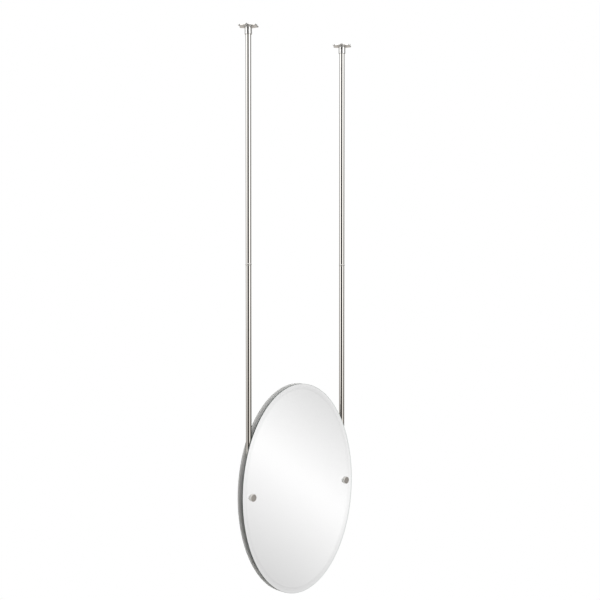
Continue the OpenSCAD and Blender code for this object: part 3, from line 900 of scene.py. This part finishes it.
def threaded_rod(radius, length, steps=32):
    """A rod with a real thread, from height 0 up."""
    turns = int(length / PITCH) + 2
    bm = bmesh.new()
    root = radius - THREAD_DEPTH
    tooth = [(root, 0), (root, FLANK_FROM), (radius, CREST_FROM), (radius, CREST_TO), (root, PITCH)]
    points = [bm.verts.new((r * MM, 0, (z - PITCH) * MM)) for r, z in tooth]
    edges = [bm.edges.new(pair) for pair in zip(points, points[1:])]
    bmesh.ops.spin(bm, geom=points + edges, cent=(0, 0, 0), axis=(0, 0, 1), angle=2 * pi * turns,
                   steps=steps * turns, dvec=(0, 0, PITCH * MM / steps))
    bmesh.ops.remove_doubles(bm, verts=bm.verts, dist=2e-6)
    for height, way in ((0, -1), (length, 1)):
        cut = bmesh.ops.bisect_plane(bm, geom=bm.verts[:] + bm.edges[:] + bm.faces[:],
                                     clear_outer=True, plane_co=(0, 0, height * MM),
                                     plane_no=(0, 0, way))
        rim_edges = [e for e in cut["geom_cut"] if isinstance(e, bmesh.types.BMEdge)]
        bmesh.ops.contextual_create(bm, geom=rim_edges)
    bmesh.ops.recalc_face_normals(bm, faces=bm.faces)
    return bm


stud_len = STUD_TIP_Y - CAP_BASE_Y + CAP_SOCKET
for side, sign in SIDES.items():
    stud = piece(side + "_cap_stud_threaded", threaded_rod(STUD_R, stud_len), [zinc_plate],
                 at=(sign * CAP_X, STUD_TIP_Y, -DROP), upright=True)
    stud.visible_transmission = False
    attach(stud, side + "_knob")
    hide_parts(side + "_cap_stud")

# %% [markdown]
# ## Fixings on the back
# A pan-head screw and a washer hold the panel to each tube. The head has a flat crown with a
# round shoulder, and a cross recess with slightly tapered arms. Four rubber pads between
# glass and panel stop them from drumming.

# %% Back screws and washers
HEAD_R, HEAD_H, HEAD_SHOULDER_R, HEAD_BREAK = 5.5, 3.2, 1.6, 0.2
RECESS_W, RECESS_LEN, RECESS_DEPTH, RECESS_TAPER, RECESS_TURN = 1.4, 6, 1.8, (0.45, 0.8, 1), pi / 9
BACK_WASHER_R, BACK_WASHER_T = 9, 1
SEAT_Y = PANEL_BACK_Y + BACK_WASHER_T
BACK_UP = Matrix.Rotation(-pi / 2, 4, "X")


def cross_recess():
    """Two tapered bars, to cut a cross into the crown of a head."""
    bars = []
    for turn_by in (0, pi / 2):
        bar = bmesh.new()
        bmesh.ops.create_cube(bar, size=1)
        bmesh.ops.scale(bar, verts=bar.verts,
                        vec=(RECESS_LEN * MM, RECESS_W * MM, 2 * RECESS_DEPTH * MM))
        bmesh.ops.scale(bar, verts=[v for v in bar.verts if v.co.z < 0], vec=RECESS_TAPER)
        bmesh.ops.rotate(bar, verts=bar.verts, cent=(0, 0, 0),
                         matrix=Matrix.Rotation(turn_by + RECESS_TURN, 3, "Z"))
        bmesh.ops.translate(bar, verts=bar.verts, vec=(0, 0, HEAD_H * MM))
        bars.append(bar)
    return bars


screw_section = [(0, -SEAT_Y - STUD_TIP_Y), (STUD_R, -SEAT_Y - STUD_TIP_Y), (STUD_R, 0),
                 (HEAD_R - HEAD_BREAK, 0), (HEAD_R, HEAD_BREAK)]
screw_section += arc_points((HEAD_R - HEAD_SHOULDER_R, HEAD_H - HEAD_SHOULDER_R),
                            HEAD_SHOULDER_R, 0, 90, 8) + [(0, HEAD_H)]
washer_section = [(CROSS_HOLE_R, 0), (BACK_WASHER_R, 0), (BACK_WASHER_R, BACK_WASHER_T),
                  (CROSS_HOLE_R, BACK_WASHER_T)]
for side, sign in SIDES.items():
    bm = carve(turned(screw_section, steps=96), "DIFFERENCE", *cross_recess())
    bm.transform(BACK_UP)
    screw = piece(side + "_back_screw_crossed", bm, [zinc_plate], at=(sign * CAP_X, SEAT_Y, -DROP))
    bm = turned(washer_section)
    break_corners(bm, width=0.15, segments=2)
    bm.transform(BACK_UP)
    washer = piece(side + "_back_washer_stamped", bm, [zinc_plate],
                   at=(sign * CAP_X, PANEL_BACK_Y, -DROP))
    for obj, node in ((screw, side + "_back_screw"), (washer, side + "_back_washer")):
        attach(obj, "hanger")
        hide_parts(node)

# %% Rubber pads
PAD_R, PAD_IN = 8, 68
LOWER_X, LOWER_Z = 0.28 * MIRROR_W, -0.3 * MIRROR_H
PAD_PLACES = [(0, MIRROR_H / 2 - PAD_IN), (0, PAD_IN - MIRROR_H / 2), (-LOWER_X, LOWER_Z),
              (LOWER_X, LOWER_Z)]
gap = 2 * (TUBE_R + SADDLE_T)
pads = bmesh.new()
for x, z in PAD_PLACES:
    bm = turned([(0, 0), (PAD_R, 0), (PAD_R, gap), (0, gap)], steps=64)
    break_corners(bm, width=0.8, segments=4)
    bm.transform(Matrix.Translation((x * MM, z * MM, 0)))
    joined = bpy.data.meshes.new("pad")
    bm.to_mesh(joined)
    bm.free()
    pads.from_mesh(joined)
    bpy.data.meshes.remove(joined)
pad_set = piece("spacer_pads_moulded", pads, [pad_rubber], at=(0, TUBE_R + SADDLE_T, -DROP),
                upright=True)
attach(pad_set, "hanger")
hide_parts("spacer_pads")

# %% [markdown]
# ## Finishes on the CAD parts
# The parts that keep their CAD shape are small or hidden: brackets, studs, inserts, plugs,
# sleeves, saddles, washers and set screws. Each gets its finish through the material slot
# that it already has. The cap washers stay out of what is seen through the glass, as the
# caps do.

# %% Finishes on the CAD parts
KEPT_PARTS = {"ceiling_bracket": zinc_plate, "ceiling_stud": zinc_plate, "joint_stud": zinc_plate,
              "upper_tube_top_insert": turned_brass, "upper_tube_bottom_insert": turned_brass,
              "lower_tube_insert": turned_brass, "end_plug": turned_brass,
              "set_screw": black_steel, "glass_sleeve": white_nylon, "front_saddle": white_nylon,
              "back_saddle": white_nylon, "cap_washer": white_nylon}
for side in SIDES:
    for part, finish in KEPT_PARTS.items():
        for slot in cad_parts[side + "_" + part].material_slots:
            slot.material = finish
    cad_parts[side + "_cap_washer"].visible_transmission = False
print("finishes given to", 2 * len(KEPT_PARTS), "CAD parts")
